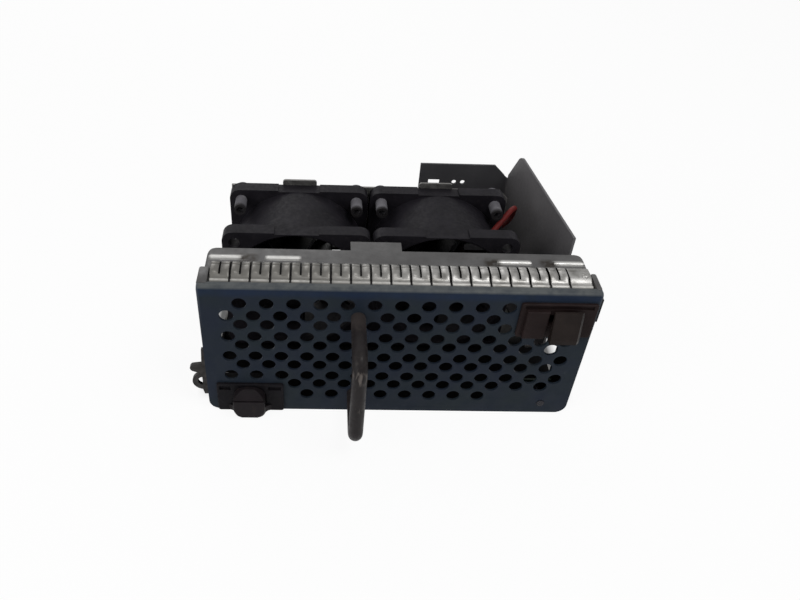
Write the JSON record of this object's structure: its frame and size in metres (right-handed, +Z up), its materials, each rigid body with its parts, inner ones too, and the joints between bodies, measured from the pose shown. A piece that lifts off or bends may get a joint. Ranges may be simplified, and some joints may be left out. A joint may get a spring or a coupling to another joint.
{
  "type": "server fan module",
  "caption": "Hot-swap fan tray with axial fans behind a perforated front plate, with a pull handle, sprung side latches, a shielding finger strip and a rear plug-in connector.",
  "frame": {"origin": "On the underside of the tray, under the middle of the front plate, in the plane of the plate's outer face.", "axes": "+X right seen from the front, +Y into the rack along the air stream, +Z up."},
  "size_m": [0.1575, 0.1495, 0.0657],
  "materials": {
    "navy_powder_coat": "fine-textured dark blue powder coat",
    "plated_steel": "zinc-plated sheet steel, lightly mottled",
    "spring_steel": "bright stainless spring strip",
    "tray_steel": "zinc-plated sheet steel",
    "rivet_steel": "plated",
    "fan_plate_steel": "pale plated sheet steel",
    "black_coated_steel": "satin black coat",
    "circuit_board": "green solder mask",
    "standoff_brass": "turned",
    "screw_steel": "plated",
    "connector_plastic": "moulded",
    "contact_plating": "plated contact metal",
    "header_plastic": "natural nylon",
    "red_insulation": "soft PVC insulation",
    "handle_plastic": "moulded, slightly worn",
    "light_pipe_clear": "clear moulded light pipe",
    "latch_plastic": "moulded",
    "thumb_plastic": "moulded, fine grain",
    "pawl_steel": "plated",
    "pawl_black": "black coated",
    "fan_plastic": "glass-filled black plastic",
    "impeller_plastic": "glass-filled black plastic",
    "shaft_steel": "ground",
    "bearing_steel": "polished",
    "magnet_ferrite": "ferrite-filled",
    "stator_copper": "laminated core with copper winding",
    "grey_rubber": "soft moulded rubber"
  },
  "bodies": {
    "module": {"faceplate": "navy_powder_coat", "front_collar": "plated_steel", "emi_gasket": "spring_steel", "tray": "tray_steel", "tray_rivets": "rivet_steel", "rear_fan_plate": "fan_plate_steel", "connector_bracket": "black_coated_steel", "control_board": "circuit_board", "board_standoffs": "standoff_brass", "board_screws": "screw_steel", "blind_mate_connector": "connector_plastic", "connector_contacts": "contact_plating", "lead_header": "header_plastic", "fan_2_lead_red": "red_insulation", "pull_handle": "handle_plastic", "handle_screws": "screw_steel", "status_light_pipe": "light_pipe_clear", "status_led_board": "circuit_board", "latch_left_housing": "latch_plastic", "latch_right_housing": "latch_plastic", "fan_1_housing": "fan_plastic", "fan_1_bearings": "bearing_steel", "fan_1_stator": "stator_copper", "fan_1_drive_board": "circuit_board", "fan_1_isolators": "grey_rubber", "fan_2_housing": "fan_plastic", "fan_2_bearings": "bearing_steel", "fan_2_stator": "stator_copper", "fan_2_drive_board": "circuit_board", "fan_2_isolators": "grey_rubber"},
    "fan_1_rotor": {"fan_1_impeller": "impeller_plastic", "fan_1_shaft": "shaft_steel", "fan_1_magnet_ring": "magnet_ferrite"},
    "fan_2_rotor": {"fan_2_impeller": "impeller_plastic", "fan_2_shaft": "shaft_steel", "fan_2_magnet_ring": "magnet_ferrite"},
    "latch_left": {"latch_left_thumb": "thumb_plastic", "latch_left_pawl": "pawl_steel"},
    "latch_right": {"latch_right_thumb": "thumb_plastic", "latch_right_pawl": "pawl_black"}
  },
  "joints": [
    {"name": "fan_1_spin", "type": "hinge", "parent": "module", "child": "fan_1_rotor", "pos_m": [-0.03945, 0.055, 0.033], "axis": [0, 1, 0], "continuous": true},
    {"name": "fan_2_spin", "type": "hinge", "parent": "module", "child": "fan_2_rotor", "pos_m": [0.02145, 0.055, 0.033], "axis": [0, 1, 0], "continuous": true},
    {"name": "latch_left_slide", "type": "slide", "parent": "module", "child": "latch_left", "axis": [1, 0, 0], "range_m": [0, 0.006], "stiffness_N_per_m": 250, "springref_m": -0.004},
    {"name": "latch_right_slide", "type": "slide", "parent": "module", "child": "latch_right", "axis": [-1, 0, 0], "range_m": [0, 0.006], "stiffness_N_per_m": 250, "springref_m": -0.004}
  ]
}
